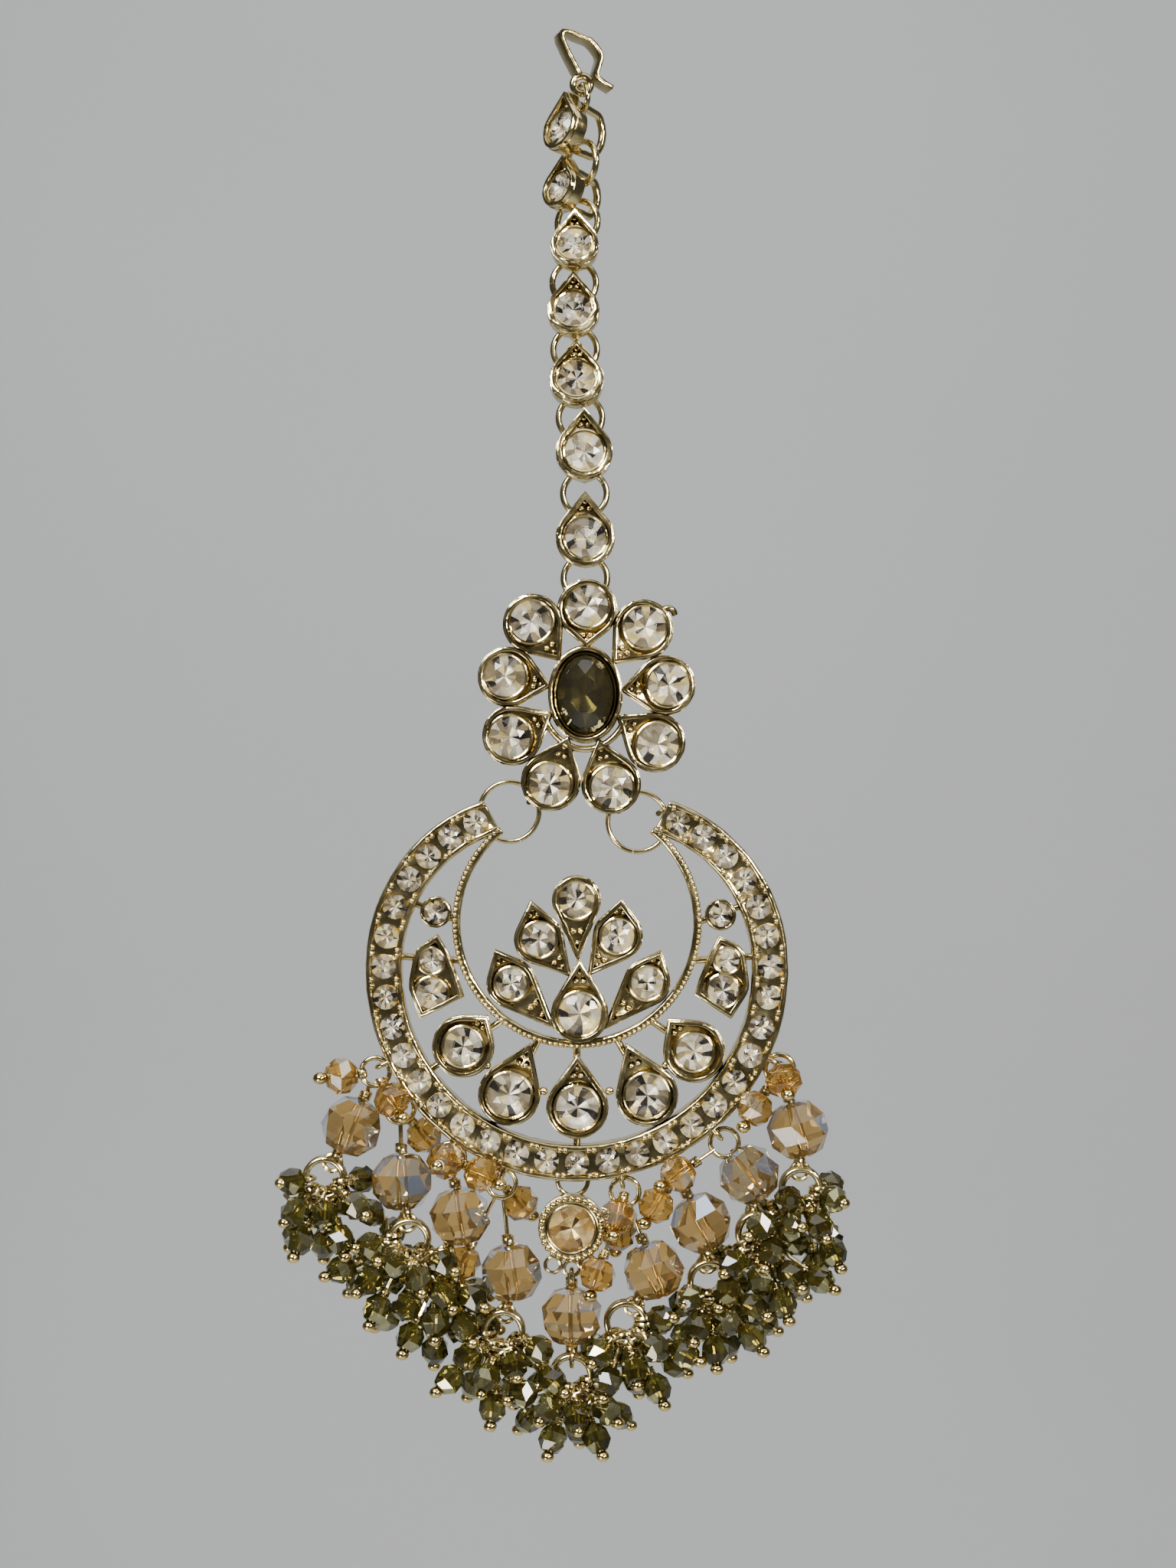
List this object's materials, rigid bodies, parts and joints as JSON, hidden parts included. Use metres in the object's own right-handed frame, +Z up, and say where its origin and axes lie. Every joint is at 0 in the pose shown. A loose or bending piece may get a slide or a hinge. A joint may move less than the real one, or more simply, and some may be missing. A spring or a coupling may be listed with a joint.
{
  "type": "maang tikka",
  "caption": "Forehead ornament: a hooked chain of teardrop stone settings, a petal flower and a swinging pierced crescent with a lotus and a fringe of faceted beads.",
  "frame": {"origin": "inside of the hook's top bend, where the pin or the hair holds the piece", "axes": "+Z up along the hanging chain, the front faces -Y, +X to the right as seen from the front"},
  "size_m": [0.0698, 0.0086, 0.175],
  "materials": {
    "antique_gold": "antique gold plate, worn light on the edges and dark olive-brown in the recesses",
    "clear_stone": "clear cut glass with champagne lights",
    "dark_stone": "dark olive-brown cut glass",
    "champagne_bead": "faceted champagne glass with a pearly coat",
    "olive_bead": "faceted dark olive glass"
  },
  "bodies": {
    "chain": {"hook": "antique_gold", "hook_ring": "antique_gold", "station_1": "antique_gold", "station_2": "antique_gold", "station_3": "antique_gold", "station_4": "antique_gold", "station_5": "antique_gold", "station_6": "antique_gold", "station_7": "antique_gold", "link_1": "antique_gold", "link_2": "antique_gold", "link_3": "antique_gold", "link_4": "antique_gold", "link_5": "antique_gold", "link_6": "antique_gold", "link_7": "antique_gold", "flower_frame": "antique_gold", "flower_stone_1": "clear_stone", "flower_stone_2": "clear_stone", "flower_stone_3": "clear_stone", "flower_stone_4": "clear_stone", "flower_stone_5": "clear_stone", "flower_stone_6": "clear_stone", "flower_stone_7": "clear_stone", "flower_stone_8": "clear_stone", "flower_stone_9": "clear_stone", "flower_centre_stone": "dark_stone"},
    "crescent": {"crescent_frame": "antique_gold", "stone_drop_left": "clear_stone", "stone_drop_middle": "clear_stone", "stone_drop_right": "clear_stone", "stone_side_left": "clear_stone", "stone_side_right": "clear_stone", "stone_lotus_top": "clear_stone", "stone_lotus_middle": "clear_stone", "jump_ring_left": "antique_gold", "jump_ring_right": "antique_gold", "small_pendant": "antique_gold", "drop_1": "champagne_bead", "drop_2": "champagne_bead", "drop_3": "champagne_bead", "drop_4": "champagne_bead", "drop_5": "champagne_bead", "drop_6": "champagne_bead", "drop_7": "champagne_bead", "drop_8": "champagne_bead", "drop_9": "champagne_bead", "cluster_1": "olive_bead", "cluster_2": "olive_bead", "cluster_3": "olive_bead", "cluster_4": "olive_bead", "cluster_5": "olive_bead", "cluster_6": "olive_bead", "cluster_7": "olive_bead", "cluster_8": "olive_bead", "cluster_9": "olive_bead"}
  },
  "joints": [
    {"name": "crescent_swing", "type": "hinge", "parent": "chain", "child": "crescent", "pos_m": [0.0008, 0, -0.09456], "axis": [1, 0, 0], "range_deg": [-45, 20]}
  ]
}
